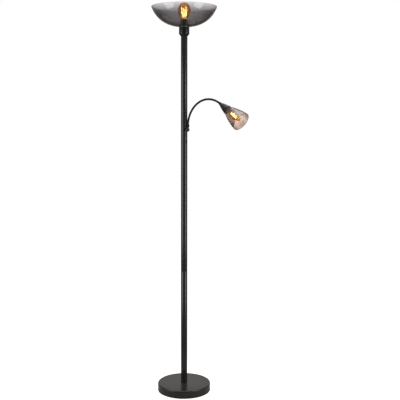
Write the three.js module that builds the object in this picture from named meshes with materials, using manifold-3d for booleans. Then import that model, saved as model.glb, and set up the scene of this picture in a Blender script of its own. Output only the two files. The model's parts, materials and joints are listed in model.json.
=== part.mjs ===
// Torchiere floor lamp: a weighted round base, a pole of three screwed tubes, an upward smoked-glass
// bowl on top, and a smaller smoked-glass reading shade on a flexible neck, each with its own switch.
// Millimetres, +Z up. The origin is the centre of the base's underside, on the floor.

import * as THREE from "three";
import { mergeVertices } from "three/addons/utils/BufferGeometryUtils.js";
import Module from "manifold-3d";

const manifold = await Module();
manifold.setup();

// ------------------------------------------------------------------ driving dimensions

const RIM_HEIGHT = 1800; // of the bowl; the bulb stands a little higher
const GAP = 0.3; // between two pieces that touch
const DEG = Math.PI / 180;

const PAD = { radius: 120.5, thickness: 2 };

const BASE = {
  radius: 125,
  height: 38,
  edgeRadius: 5,
  wall: 1.2,
  floorGap: 1,
};

const WEIGHT = { radius: 119.5, top: 22, bossRadius: 30, recessRadius: 17, recessTop: 18.7, grooveWidth: 7 };

const TUBE = { radius: 15, wall: 1.2 };
const SEAM_LOWER = 579;
const SEAM_UPPER = 1139.7;
const POLE_TOP = 1671;

const NIPPLE = { radius: 5, bore: 3.6 }; // M10 hollow thread
const LEAD_RADIUS = 2.6;

const COLLAR = { radius: 23.75, bottom: 1668.5, floorTop: 1674, top: 1708.9, wall: 1.9 };

const BOWL = { radius: 150, height: 91.2, wall: 3, holeRadius: 20.5 };

const SOCKET_E27 = { radius: 18, bottom: 1682, top: 1738.5 };
const BULB_E27 = { radius: 30, bottom: 1712, widest: 1775, top: 1818, wall: 1 };

const SWITCH_HEIGHTS = { upper: 1221, lower: 1189 };
const KEY = { height: 16, width: 9.8, pivotRadius: 10.4, restTilt: -8 * DEG };

const ARM_AZIMUTH = -40 * DEG; // the plane of the arm, the switches and the reading shade
const BRACKET = { radius: 9.7, offset: 20.5, height: 1244, neckReach: 22.2 };

const NECK = {
  offset: 23, // distance of the neck's foot from the pole's axis
  foot: 1260.4,
  arcRadius: 121,
  sweep: 124.05 * DEG,
  tail: 6, // straight, beyond the arc
  links: 8,
  pitch: 32,
  radius: 4.5,
  stem: 1.4,
  ball: 3.3,
  cup: 3.6,
  cupOutside: 4.8,
  cupLip: 64 * DEG,
};

const SHADE = { radius: 43.5, length: 135, wall: 2.2, holeRadius: 13 };
const CONE = { radius: 21, length: 46, wall: 1.2 };
const SOCKET_E14 = { radius: 12.3, bottom: 18, top: 54 };
const BULB_E14 = { radius: 17.5, widest: 82, tip: 127, wall: 0.8 };

// ------------------------------------------------------------------ materials

function material(color, roughness, metalness, opacity = 1) {
  return new THREE.MeshStandardMaterial({ color, roughness, metalness, opacity, transparent: opacity < 1 });
}

const BLACK_COAT = material(0x1c1b1b, 0.42, 0.3);
const NECK_BLACK = material(0x0e0d0d, 0.6, 0.1);
const BLACK_PLASTIC = material(0x111111, 0.5, 0);
const KEY_PLASTIC = material(0x0b0b0b, 0.35, 0);
const ZINC_STEEL = material(0xa8abad, 0.35, 1);
const IRON = material(0x4a4a4b, 0.8, 0.7);
const BRASS = material(0xb8964a, 0.35, 1);
const NICKEL = material(0xc4c2bd, 0.3, 1);
const RUBBER = material(0x1a1a1a, 0.9, 0);
const FELT = material(0x2a2a2a, 1, 0);
const SILICONE = material(0xd8d8d4, 0.7, 0);
const CERAMIC = material(0xe9e6de, 0.4, 0);
const LEAD_SHEATH = material(0x151515, 0.6, 0);
const SMOKED_GLASS = material(0x5a5556, 0.08, 0.2, 0.5);
const AMBER_GLASS = material(0xc98a3a, 0.05, 0, 0.4);
const CLEAR_GLASS = material(0xe8e6e0, 0.05, 0, 0.4);
const GLOW = material(0xffd78a, 0.5, 0);

// ------------------------------------------------------------------ shape helpers

// A solid turned about +Z. The profile's [radius, height] points run anticlockwise: out along the
// bottom, up the outside, and back down the inside. One that leaves the axis closes on itself.
function turned(profile, segments = 24) {
  const points = profile.map(([r, z]) => new THREE.Vector2(r, z));
  if (profile[0][0] > 0) {
    points.push(points[0].clone());
  }
  return new THREE.LatheGeometry(points, segments).rotateX(Math.PI / 2);
}

// A plain ring or tube about +Z.
function ring(inner, outer, bottom, top, segments = 24) {
  return turned([[inner, bottom], [outer, bottom], [outer, top], [inner, top]], segments);
}

// A rod or disc about +Z.
function disc(radius, bottom, top, segments = 24) {
  return turned([[0, bottom], [radius, bottom], [radius, top], [0, top]], segments);
}

// The points of a path as [radius, height] pairs.
function outline(path, divisions) {
  return path.getPoints(divisions).map((point) => [point.x, point.y]);
}

// Points on an arc about [0, centre] from one polar angle to another, both measured from +Z.
function polarArc(radius, centre, from, to, steps) {
  return Array.from({ length: steps + 1 }, (_, i) => {
    const angle = from + ((to - from) * i) / steps;
    return [radius * Math.sin(angle), centre + radius * Math.cos(angle)];
  });
}

// The closed profile of a wall: the outside points, then the same line moved inwards by the wall.
function walled(outside, wall) {
  const inside = outside.map((point, i) => {
    const before = outside[Math.max(i - 1, 0)];
    const after = outside[Math.min(i + 1, outside.length - 1)];
    const dr = after[0] - before[0];
    const dz = after[1] - before[1];
    const length = Math.hypot(dr, dz);
    return [Math.max(point[0] - (wall * dz) / length, 0), point[1] + (wall * dr) / length];
  });
  return [...outside, ...inside.reverse()];
}

// A hexagonal nut about +Z.
function hexNut(acrossFlats, bore, bottom, height) {
  const corner = acrossFlats / Math.sqrt(3);
  const shape = new THREE.Shape();
  for (let side = 0; side < 6; side += 1) {
    const angle = side * 60 * DEG;
    const move = side === 0 ? "moveTo" : "lineTo";
    shape[move](corner * Math.cos(angle), corner * Math.sin(angle));
  }
  shape.closePath();
  const hole = new THREE.Path();
  hole.absarc(0, 0, bore, 0, 2 * Math.PI, true);
  shape.holes.push(hole);
  const nut = new THREE.ExtrudeGeometry(shape, { depth: height, bevelEnabled: false, curveSegments: 6 });
  return nut.translate(0, 0, bottom);
}

// A smooth line through [x, y, z] points. Its steps follow the points, so that they are close together
// where the points are, and not the length.
class CableRoute extends THREE.CatmullRomCurve3 {
  constructor(points) {
    super(points.map((point) => new THREE.Vector3(...point)), false, "centripetal");
  }

  getUtoTmapping(fraction) {
    return fraction;
  }
}

// A round bar or cable along a curve. A full circle gets two sides for each curve segment.
function along(curve, radius, sides, steps) {
  const section = new THREE.Shape();
  section.absarc(0, 0, radius, 0, 2 * Math.PI, false);
  return new THREE.ExtrudeGeometry(section, {
    extrudePath: curve,
    steps,
    curveSegments: sides / 2,
    bevelEnabled: false,
  });
}

function toSolid(geometry) {
  const bare = geometry.clone();
  bare.deleteAttribute("normal");
  bare.deleteAttribute("uv");
  const merged = mergeVertices(bare, 1e-4);
  const triangles = [];
  for (let i = 0; i < merged.index.count; i += 3) {
    const [a, b, c] = [0, 1, 2].map((corner) => merged.index.getX(i + corner));
    if (a !== b && b !== c && c !== a) {
      triangles.push(a, b, c);
    }
  }
  return new manifold.Manifold(
    new manifold.Mesh({
      numProp: 3,
      vertProperties: new Float32Array(merged.attributes.position.array),
      triVerts: new Uint32Array(triangles),
    }),
  );
}

function toGeometry(solid) {
  const mesh = solid.getMesh();
  const geometry = new THREE.BufferGeometry();
  geometry.setAttribute("position", new THREE.BufferAttribute(mesh.vertProperties, mesh.numProp));
  geometry.setIndex(new THREE.BufferAttribute(mesh.triVerts, 1));
  geometry.computeVertexNormals();
  return geometry;
}

// One geometry with others added to it and then others cut out of it.
function combined(start, { add = [], cut = [] }) {
  let solid = toSolid(start);
  for (const extra of add) {
    solid = solid.add(toSolid(extra));
  }
  for (const tool of cut) {
    solid = solid.subtract(toSolid(tool));
  }
  return toGeometry(solid);
}

function part(parent, name, geometry, look) {
  const mesh = new THREE.Mesh(geometry, look);
  mesh.name = name;
  parent.add(mesh);
  return mesh;
}

// A box given by its lowest and highest corners.
function block([x0, y0, z0], [x1, y1, z1]) {
  const box = new THREE.BoxGeometry(x1 - x0, y1 - y0, z1 - z0);
  return box.translate((x0 + x1) / 2, (y0 + y1) / 2, (z0 + z1) / 2);
}

// ------------------------------------------------------------------ frames

const lamp = new THREE.Group();

// The arm's frame: X points out of the pole towards the reading shade, Z stays up.
const armFrame = new THREE.Group();
armFrame.rotation.z = ARM_AZIMUTH;
lamp.add(armFrame);

const tubeBore = TUBE.radius - TUBE.wall;
const insertRadius = tubeBore - GAP;
const nippleHole = NIPPLE.radius + GAP;

// ------------------------------------------------------------------ base

const GROMMET = { height: 7, bore: 3.1, neck: 4, flange: 5.4, flangeThickness: 1.6 };

function coverGeometry() {
  const path = new THREE.Path();
  const edge = BASE.edgeRadius;
  path.moveTo(BASE.radius, BASE.floorGap);
  path.lineTo(BASE.radius, BASE.height - edge);
  path.absarc(BASE.radius - edge, BASE.height - edge, edge, 0, Math.PI / 2, false);
  path.lineTo(nippleHole, BASE.height);
  const shell = turned(walled(outline(path, 2), BASE.wall), 40);
  const inletHole = disc(GROMMET.neck + GAP, 0, 20, 20).rotateX(-Math.PI / 2);
  inletHole.translate(0, BASE.radius - 10, GROMMET.height);
  return combined(shell, { cut: [inletHole] });
}

function weightGeometry() {
  const bottom = PAD.thickness + GAP;
  const bossTop = BASE.height - BASE.wall - GAP;
  const casting = turned(
    [
      [WEIGHT.recessRadius, bottom],
      [WEIGHT.radius, bottom],
      [WEIGHT.radius, WEIGHT.top],
      [WEIGHT.bossRadius, WEIGHT.top],
      [WEIGHT.bossRadius, bossTop],
      [nippleHole, bossTop],
      [nippleHole, WEIGHT.recessTop],
      [WEIGHT.recessRadius, WEIGHT.recessTop],
    ],
    36,
  );
  const halfGroove = WEIGHT.grooveWidth / 2;
  const grooveTop = GROMMET.height + LEAD_RADIUS + 1;
  const groove = block([-halfGroove, 10, 0], [halfGroove, BASE.radius, grooveTop]);
  return combined(casting, { cut: [groove] });
}

// The inlet grommet is turned about its own axis, then laid along +Y through the cover's skirt.
function grommetGeometry() {
  const { bore, neck, flange, flangeThickness } = GROMMET;
  const skirtInside = -BASE.wall - 3 * GAP; // the skirt curves towards the flat flange
  const skirtOutside = GAP;
  const grommet = turned(
    [
      [bore, skirtInside - flangeThickness],
      [flange, skirtInside - flangeThickness],
      [flange, skirtInside],
      [neck, skirtInside],
      [neck, skirtOutside],
      [flange, skirtOutside],
      [flange - 0.8, skirtOutside + flangeThickness],
      [bore, skirtOutside + flangeThickness],
    ],
    20,
  );
  return grommet.rotateX(-Math.PI / 2).translate(0, BASE.radius, GROMMET.height);
}

const BASE_NUT = { bottom: 10.6, height: 6, acrossFlats: 17 };
const baseNutTop = BASE_NUT.bottom + BASE_NUT.height;

part(lamp, "floor_pad", disc(PAD.radius, 0, PAD.thickness, 40), FELT);
part(lamp, "base_weight", weightGeometry(), IRON);
part(lamp, "base_cover", coverGeometry(), BLACK_COAT);
part(lamp, "cord_grommet", grommetGeometry(), RUBBER);
part(lamp, "base_nut", hexNut(BASE_NUT.acrossFlats, nippleHole, BASE_NUT.bottom, BASE_NUT.height), ZINC_STEEL);
part(lamp, "base_washer", ring(nippleHole, 15, baseNutTop + GAP, WEIGHT.recessTop - GAP, 24), ZINC_STEEL);
part(lamp, "base_nipple", ring(NIPPLE.bore, NIPPLE.radius, 10, 58, 16), ZINC_STEEL);

// ------------------------------------------------------------------ pole

const poleFoot = BASE.height + GAP;
const JOINT = { depth: 30, spigot: 8, spigotDepth: 22, plug: 20, bore: 4.5 };

function tube(bottom, top) {
  return ring(tubeBore, TUBE.radius, bottom, top, 28);
}

// A tube joint: a threaded socket in the lower tube's top, a stud in the upper tube's foot.
function addTubeJoint(name, seam) {
  const socket = ring(JOINT.spigot + GAP, insertRadius, seam - JOINT.depth, seam - GAP, 20);
  part(lamp, `${name}_joint_socket`, socket, ZINC_STEEL);
  const stud = turned(
    [
      [JOINT.bore, seam - JOINT.spigotDepth],
      [JOINT.spigot, seam - JOINT.spigotDepth],
      [JOINT.spigot, seam + GAP],
      [insertRadius, seam + GAP],
      [insertRadius, seam + JOINT.plug],
      [JOINT.bore, seam + JOINT.plug],
    ],
    20,
  );
  part(lamp, `${name}_joint_stud`, stud, ZINC_STEEL);
}

function slotCutter(height) {
  const halfWidth = KEY.width / 2 + 0.6;
  const halfHeight = KEY.height / 2 + 1.4;
  return block([10, -halfWidth, height - halfHeight], [TUBE.radius + 2, halfWidth, height + halfHeight]);
}

const STUD = { radius: 4, bore: 2.2, from: 6.6, to: 16.5 };

function upperTubeGeometry() {
  const wires = disc(STUD.radius + GAP, 0, 20, 20).rotateY(Math.PI / 2).translate(5, 0, BRACKET.height);
  const cutters = [wires, ...Object.values(SWITCH_HEIGHTS).map(slotCutter)];
  for (const cutter of cutters) {
    cutter.rotateZ(ARM_AZIMUTH);
  }
  return combined(tube(SEAM_UPPER + GAP, POLE_TOP), { cut: cutters });
}

part(lamp, "pole_lower", tube(poleFoot, SEAM_LOWER), BLACK_COAT);
part(lamp, "pole_middle", tube(SEAM_LOWER + GAP, SEAM_UPPER), BLACK_COAT);
part(lamp, "pole_upper", upperTubeGeometry(), BLACK_COAT);
part(lamp, "pole_foot_insert", ring(nippleHole, insertRadius, poleFoot + GAP, poleFoot + 25, 20), ZINC_STEEL);
part(lamp, "pole_top_insert", ring(nippleHole, insertRadius, POLE_TOP - 25, POLE_TOP - GAP, 20), ZINC_STEEL);
addTubeJoint("lower", SEAM_LOWER);
addTubeJoint("upper", SEAM_UPPER);

// ------------------------------------------------------------------ collar and main lamp holder

function collarGeometry() {
  const { radius, bottom, floorTop, top, wall } = COLLAR;
  const poleHole = TUBE.radius + GAP;
  const floorBottom = POLE_TOP + GAP;
  const lip = 20.4;
  return turned(
    [
      [poleHole, bottom],
      [poleHole + 1.1, bottom],
      [radius, bottom + 9],
      [radius, top - 1],
      [radius - 1, top],
      [lip, top],
      [lip, top - 3],
      [radius - wall, top - 4.5],
      [radius - wall, floorTop + 5],
      [16, floorTop],
      [nippleHole, floorTop],
      [nippleHole, floorBottom],
      [poleHole, floorBottom],
    ],
    28,
  );
}

function socketE27Geometry() {
  const { radius, bottom, top } = SOCKET_E27;
  return turned(
    [
      [nippleHole, bottom],
      [radius - 3, bottom],
      [radius, bottom + 4],
      [radius, top - 0.8],
      [radius - 0.4, top],
      [16.9, top],
      [14.4, top - 2.5],
      [14.4, bottom + 6],
      [nippleHole, bottom + 6],
    ],
    24,
  );
}

const topNutBottom = COLLAR.floorTop + GAP;
const contactBottom = SOCKET_E27.bottom + 6 + GAP;
const contactTop = BULB_E27.bottom - GAP;

part(lamp, "top_collar", collarGeometry(), BLACK_COAT);
part(lamp, "top_nipple", ring(NIPPLE.bore, NIPPLE.radius, 1650, 1687, 16), ZINC_STEEL);
part(lamp, "top_nut", hexNut(BASE_NUT.acrossFlats, nippleHole, topNutBottom, 5), ZINC_STEEL);
part(lamp, "e27_socket", socketE27Geometry(), BLACK_PLASTIC);
part(lamp, "e27_contact_insert", disc(14.1, contactBottom, contactTop, 24), CERAMIC);
part(lamp, "e27_thread_shell", ring(13.6, 14.1, contactTop + GAP, SOCKET_E27.top - 3, 24), BRASS);

// ------------------------------------------------------------------ bowl

const bowlBottom = RIM_HEIGHT - BOWL.height;

// The bowl's outside is one Bezier from the pole's axis to the rim. Near the axis, where the hole is,
// it is left out for a flat seat.
function bowlOutside() {
  const curve = new THREE.CubicBezierCurve(
    new THREE.Vector2(0, bowlBottom),
    new THREE.Vector2(82.5, bowlBottom),
    new THREE.Vector2(130, bowlBottom + 36.4),
    new THREE.Vector2(BOWL.radius, RIM_HEIGHT),
  );
  const seatEnd = 0.105;
  const steps = 8;
  const points = [];
  for (let i = 0; i <= steps; i += 1) {
    const point = curve.getPoint(seatEnd + ((1 - seatEnd) * i) / steps);
    points.push([point.x, point.y]);
  }
  return [[BOWL.holeRadius, points[0][1]], ...points];
}

const bowlSeat = bowlOutside()[0][1];

function bowlGeometry() {
  const outside = bowlOutside();
  const profile = walled(outside, BOWL.wall);
  const [rimRadius] = outside[outside.length - 1];
  profile[outside.length] = [rimRadius - BOWL.wall, RIM_HEIGHT];
  return turned(profile, 32);
}

const bowlRingBottom = bowlSeat + BOWL.wall + GAP;

part(lamp, "bowl_gasket", ring(20.8, 23.4, COLLAR.top + GAP, bowlSeat - GAP, 28), SILICONE);
part(lamp, "bowl_glass", bowlGeometry(), SMOKED_GLASS);
part(lamp, "bowl_ring", ring(SOCKET_E27.radius + GAP, 24, bowlRingBottom, bowlRingBottom + 5, 28), BLACK_PLASTIC);

// ------------------------------------------------------------------ bulbs

// A filament wire that climbs and falls in a cage of strands around the axis.
function filamentGeometry(strands, bottomRadius, topRadius, bottom, top, thickness) {
  const points = [];
  for (let strand = 0; strand < strands; strand += 1) {
    const angle = (strand / strands) * 330 * DEG;
    const nextAngle = ((strand + 0.5) / strands) * 330 * DEG;
    points.push(new THREE.Vector3(bottomRadius * Math.cos(angle), bottomRadius * Math.sin(angle), bottom));
    points.push(new THREE.Vector3(topRadius * Math.cos(nextAngle), topRadius * Math.sin(nextAngle), top));
  }
  const curve = new THREE.CatmullRomCurve3(points, false, "centripetal");
  return along(curve, thickness, 6, strands * 6);
}

// The bulb of the bowl, widest low down and drawn in towards its dome, standing in the E27 socket.
function addBowlBulb(parent) {
  const { radius, bottom, widest, top, wall } = BULB_E27;
  const glassFoot = bottom + 19.6;
  const capTop = bottom + 27;
  const path = new THREE.Path();
  path.moveTo(12.2, glassFoot);
  path.lineTo(12.2, glassFoot + 11.4);
  path.bezierCurveTo(12.4, glassFoot + 22, radius, widest - 22, radius, widest);
  path.bezierCurveTo(radius, widest + 17, 24, top, 0, top);
  part(parent, "bowl_bulb_glass", turned(walled(outline(path, 5), wall), 24), AMBER_GLASS);
  const cap = turned(
    [
      [0, bottom],
      [4, bottom],
      [5, bottom + 3],
      [13.1, bottom + 6],
      [13.1, capTop],
      [12.5, capTop],
      [12.5, glassFoot - GAP],
      [0, glassFoot - GAP],
    ],
    24,
  );
  part(parent, "bowl_bulb_cap", cap, NICKEL);
  const stemTop = glassFoot + 14;
  const stem = turned([[0, glassFoot], [9, glassFoot], [3, stemTop - 4], [2, stemTop - 1], [0, stemTop]], 16);
  part(parent, "bowl_bulb_stem", stem, CLEAR_GLASS);
  const filament = filamentGeometry(7, 8, 14, stemTop + 1.4, top - 20, 0.7);
  part(parent, "bowl_bulb_filament", filament, GLOW);
}

// The candle bulb of the reading shade, along the head's own +Z.
function addReadingBulb(parent) {
  const { radius, widest, tip, wall } = BULB_E14;
  const glassFoot = 46;
  const path = new THREE.Path();
  path.moveTo(6.2, glassFoot);
  path.lineTo(6.2, glassFoot + 5);
  path.bezierCurveTo(8, glassFoot + 14, radius, widest - 14, radius, widest);
  path.bezierCurveTo(radius, widest + 18, 6, tip - 8, 0, tip);
  part(parent, "reading_bulb_glass", turned(walled(outline(path, 4), wall), 20), AMBER_GLASS);
  const cap = turned(
    [
      [0, 29],
      [3, 29],
      [3.5, 31],
      [7.1, 33],
      [7.1, 50.5],
      [6.5, 50.5],
      [6.5, glassFoot - GAP],
      [0, glassFoot - GAP],
    ],
    20,
  );
  part(parent, "reading_bulb_cap", cap, NICKEL);
  part(parent, "reading_bulb_filament", filamentGeometry(5, 3.5, 7, 66, 108, 0.6), GLOW);
}

addBowlBulb(lamp);

// ------------------------------------------------------------------ switches

const TRUNNION = { radius: 0.6, reach: 6 };
const EAR = { inside: 5.2, outside: 6.1, front: 12, halfHeight: 2.4, bore: 0.9 };

// A pin along Y through the middle of a shape.
function crossPin(radius, reach) {
  return disc(radius, -reach, reach, 16).rotateX(Math.PI / 2);
}

// A rocker key: its outer face is a shallow V, so one end stands proud while the other is pressed in.
// It turns on a trunnion at each side.
function keyGeometry() {
  const half = KEY.height / 2;
  const shape = new THREE.Shape();
  shape.moveTo(-0.7, -3);
  shape.lineTo(2.3, -half);
  shape.lineTo(4.7, -half);
  shape.lineTo(3.9, 0);
  shape.lineTo(4.7, half);
  shape.lineTo(2.3, half);
  shape.lineTo(-0.7, 3);
  shape.closePath();
  const key = new THREE.ExtrudeGeometry(shape, { depth: KEY.width, bevelEnabled: false });
  key.rotateX(Math.PI / 2).translate(0, KEY.width / 2, 0);
  return combined(key, { add: [crossPin(TRUNNION.radius, TRUNNION.reach)] });
}

// The switch body carries two ears with a bore each for the key's trunnions.
function switchBodyGeometry(height) {
  const { inside, outside, front, halfHeight, bore } = EAR;
  const body = block([-1, -outside, height - 10], [9, outside, height + 10]);
  const left = block([8, inside, height - halfHeight], [front, outside, height + halfHeight]);
  const right = block([8, -outside, height - halfHeight], [front, -inside, height + halfHeight]);
  const bores = crossPin(bore, outside + 1).translate(KEY.pivotRadius, 0, height);
  return combined(body, { add: [left, right], cut: [bores] });
}

function addSwitch(name, height) {
  part(armFrame, `switch_body_${name}`, switchBodyGeometry(height), BLACK_PLASTIC);
  const key = part(armFrame, `switch_key_${name}`, keyGeometry(), KEY_PLASTIC);
  key.position.set(KEY.pivotRadius, 0, height);
  key.rotation.y = KEY.restTilt;
}

for (const [name, height] of Object.entries(SWITCH_HEIGHTS)) {
  addSwitch(name, height);
}

// ------------------------------------------------------------------ arm bracket

// A round knuckle with a short neck that is hollowed to sit against the pole.
function bracketGeometry() {
  const { radius, offset, height, neckReach } = BRACKET;
  const knuckle = new THREE.SphereGeometry(radius, 16, 10).translate(offset, 0, height);
  const saddle = disc(8, 0, offset - 12, 24).rotateY(Math.PI / 2).translate(12, 0, height);
  const poleSpace = disc(TUBE.radius + GAP, height - 20, height + 20, 40);
  const studBore = disc(STUD.radius + GAP, 0, 15, 20).rotateY(Math.PI / 2).translate(10, 0, height);
  const neckBore = disc(5, height - 4, height + 15, 20).translate(neckReach, 0, 0);
  return combined(knuckle, { add: [saddle], cut: [poleSpace, studBore, neckBore] });
}

// A piece turned about +Z, laid along the arm frame's +X at the bracket's height.
function alongStud(geometry) {
  return geometry.rotateY(Math.PI / 2).translate(0, 0, BRACKET.height);
}

function saddleWasherGeometry() {
  const blank = alongStud(ring(STUD.radius + GAP, 6.5, 11.5, 14, 20));
  const outsideOfTube = ring(tubeBore - GAP, TUBE.radius + 10, BRACKET.height - 15, BRACKET.height + 15, 40);
  return combined(blank, { cut: [outsideOfTube] });
}

part(armFrame, "arm_bracket", bracketGeometry(), BLACK_COAT);
part(armFrame, "arm_stud", alongStud(ring(STUD.bore, STUD.radius, STUD.from, STUD.to, 16)), ZINC_STEEL);
part(armFrame, "arm_saddle_washer", saddleWasherGeometry(), ZINC_STEEL);
part(armFrame, "arm_nut", alongStud(hexNut(13, STUD.radius + GAP, 7.2, 4)), ZINC_STEEL);

// ------------------------------------------------------------------ flexible neck

// A point on the neck's line, and the direction there as an angle from +Z towards +X.
function neckPoint(length) {
  const angle = Math.min(length / NECK.arcRadius, NECK.sweep);
  const straight = length - angle * NECK.arcRadius;
  return {
    angle,
    x: NECK.offset + NECK.arcRadius * (1 - Math.cos(angle)) + straight * Math.sin(angle),
    z: NECK.foot + NECK.arcRadius * Math.sin(angle) + straight * Math.cos(angle),
  };
}

const neckLength = NECK.arcRadius * NECK.sweep + NECK.tail;

// Stations along the neck: its foot, the hinge of each link, and the head's end.
const stations = [0];
for (let link = 0; link < NECK.links; link += 1) {
  stations.push(NECK.pitch * (link + 0.5));
}
stations.push(neckLength);

// The chord from one station to the next, as a group with +Z along it.
function chordFrame(index) {
  const from = neckPoint(stations[index]);
  const to = neckPoint(stations[index + 1]);
  const group = new THREE.Group();
  group.position.set(from.x, 0, from.z);
  group.rotation.y = Math.atan2(to.x - from.x, to.z - from.z);
  armFrame.add(group);
  return { group, length: Math.hypot(to.x - from.x, to.z - from.z) };
}

const SHOULDER = 5.2; // where a link's full width starts, beyond the cup below

function ballEnd() {
  const neckAngle = Math.asin(NECK.stem / NECK.ball);
  const ball = polarArc(NECK.ball, 0, Math.PI, neckAngle, 4);
  ball[0][0] = 0;
  return [...ball, [NECK.stem, SHOULDER], [NECK.radius, SHOULDER]];
}

function cupEnd(length) {
  const meet = Math.PI - Math.asin(NECK.radius / NECK.cupOutside);
  const outside = polarArc(NECK.cupOutside, length, meet, NECK.cupLip, 3);
  const inside = polarArc(NECK.cup, length, NECK.cupLip, Math.PI, 4);
  inside[inside.length - 1][0] = 0;
  return [...outside, ...inside];
}

const LINK_SIDES = 10;
const FERRULE_REACH = 2.5; // how far the last link stops short of the head

const anchor = chordFrame(0);
const anchorFoot = [[0, -4.5], [NECK.radius, -4.5]];
part(anchor.group, "neck_anchor", turned([...anchorFoot, ...cupEnd(anchor.length)], LINK_SIDES), NECK_BLACK);

const lowerFerrule = turned(
  [
    [3, -13],
    [4, -13],
    [4, -6],
    [6.2, -6],
    [6.8, -5],
    [6.8, 5],
    [6, 7],
    [4.8, 7],
    [4.8, -4.8],
    [3, -4.8],
  ],
  16,
);
part(anchor.group, "neck_ferrule_lower", lowerFerrule, NECK_BLACK);

for (let link = 1; link <= NECK.links; link += 1) {
  const { group, length } = chordFrame(link);
  const isLast = link === NECK.links;
  const end = isLast ? [[NECK.radius, length - FERRULE_REACH], [0, length - FERRULE_REACH]] : cupEnd(length);
  part(group, `neck_link_${link}`, turned([...ballEnd(), ...end], LINK_SIDES), NECK_BLACK);
}

// ------------------------------------------------------------------ reading head

const headEnd = neckPoint(neckLength);
const head = new THREE.Group();
head.position.set(headEnd.x, 0, headEnd.z);
head.rotation.y = headEnd.angle;
armFrame.add(head);

// The upper ferrule holds the last link in its bore and the cone on its threaded spigot.
const upperFerrule = turned(
  [
    [0, -1.9],
    [5.6, -1.9],
    [5.6, -9],
    [6.4, -9],
    [6.9, -8],
    [6.9, -1],
    [6.2, 0],
    [3.8, 0],
    [3.8, 8],
    [0, 8],
  ],
  16,
);

function coneGeometry() {
  const path = new THREE.Path();
  path.moveTo(8.5, 0.8);
  path.quadraticCurveTo(14, 14, CONE.radius, CONE.length);
  return turned(walled([[4.1, 0.8], ...outline(path, 5)], CONE.wall), 24);
}

function shadeGeometry() {
  const seat = 40;
  const path = new THREE.Path();
  path.moveTo(SHADE.holeRadius, seat);
  path.lineTo(16.2, seat);
  path.quadraticCurveTo(17.6, seat + 2, 19.6, seat + 8.5);
  path.bezierCurveTo(30.5, 66, 42.5, 114, SHADE.radius, SHADE.length);
  return turned(walled(outline(path, 5), SHADE.wall), 24);
}

function socketE14Geometry() {
  const { radius, bottom, top } = SOCKET_E14;
  const flange = 16.2;
  return turned(
    [
      [4.1, bottom],
      [radius - 2, bottom],
      [radius, bottom + 3],
      [radius, 36],
      [flange, 36.6],
      [flange, 39.4],
      [radius, 39.4],
      [radius, top],
      [8.8, top],
      [8.2, top - 1],
      [8.2, bottom + 5],
      [4.1, bottom + 5],
    ],
    24,
  );
}

part(head, "neck_ferrule_upper", upperFerrule, NECK_BLACK);
part(head, "head_cone", coneGeometry(), BLACK_COAT);
part(head, "head_nut", hexNut(12, 4.1, 2.6, 3.6), ZINC_STEEL);
part(head, "e14_socket", socketE14Geometry(), BLACK_PLASTIC);
part(head, "e14_thread_shell", ring(7.5, 7.9, 26, 49, 20), BRASS);
part(head, "shade_ring", ring(SOCKET_E14.radius + GAP, 14.9, 42.8, 46.5, 28), BLACK_PLASTIC);
part(head, "reading_shade", shadeGeometry(), SMOKED_GLASS);
addReadingBulb(head);

// ------------------------------------------------------------------ leads inside the lamp

// The main lead runs from the inlet along the weight's groove, up the pole behind the switches, and
// into the main lamp holder.
function mainLeadCurve() {
  const behind = 7.5;
  const x = -behind * Math.cos(ARM_AZIMUTH);
  const y = -behind * Math.sin(ARM_AZIMUTH);
  return new CableRoute([
    [0, BASE.radius - 6, GROMMET.height],
    [0, 40, 5.6],
    [0, 9, 5.4],
    [0, 5, 5.9],
    [0, 1.6, 8],
    [0, 0.1, 11],
    [0, 0, 16],
    [0, 0, 60],
    [0, 0, 1100],
    [0, 0, 1163],
    [x, y, 1185],
    [x, y, 1255],
    [0, 0, 1280],
    [0, 0, 1340],
    [0, 0, 1686],
  ]);
}

// The arm's lead runs up beside the switches and out through the bracket's stud.
function armLeadCurve() {
  return new CableRoute([
    [2, 8.6, 1180],
    [2, 8.6, 1229],
    [1, 5.6, 1239],
    [4, 0, BRACKET.height],
    [9, 0, BRACKET.height],
    [20, 0, BRACKET.height],
  ]);
}

part(lamp, "main_lead", along(mainLeadCurve(), LEAD_RADIUS, 8, 42), LEAD_SHEATH);
part(armFrame, "arm_lead", along(armLeadCurve(), 1.5, 6, 15), LEAD_SHEATH);

export default lamp;
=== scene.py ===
"""Torchiere floor lamp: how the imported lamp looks. +Z up, the origin under the middle of the base."""

import json
import math

import bpy
from mathutils import Matrix, Vector

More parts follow.
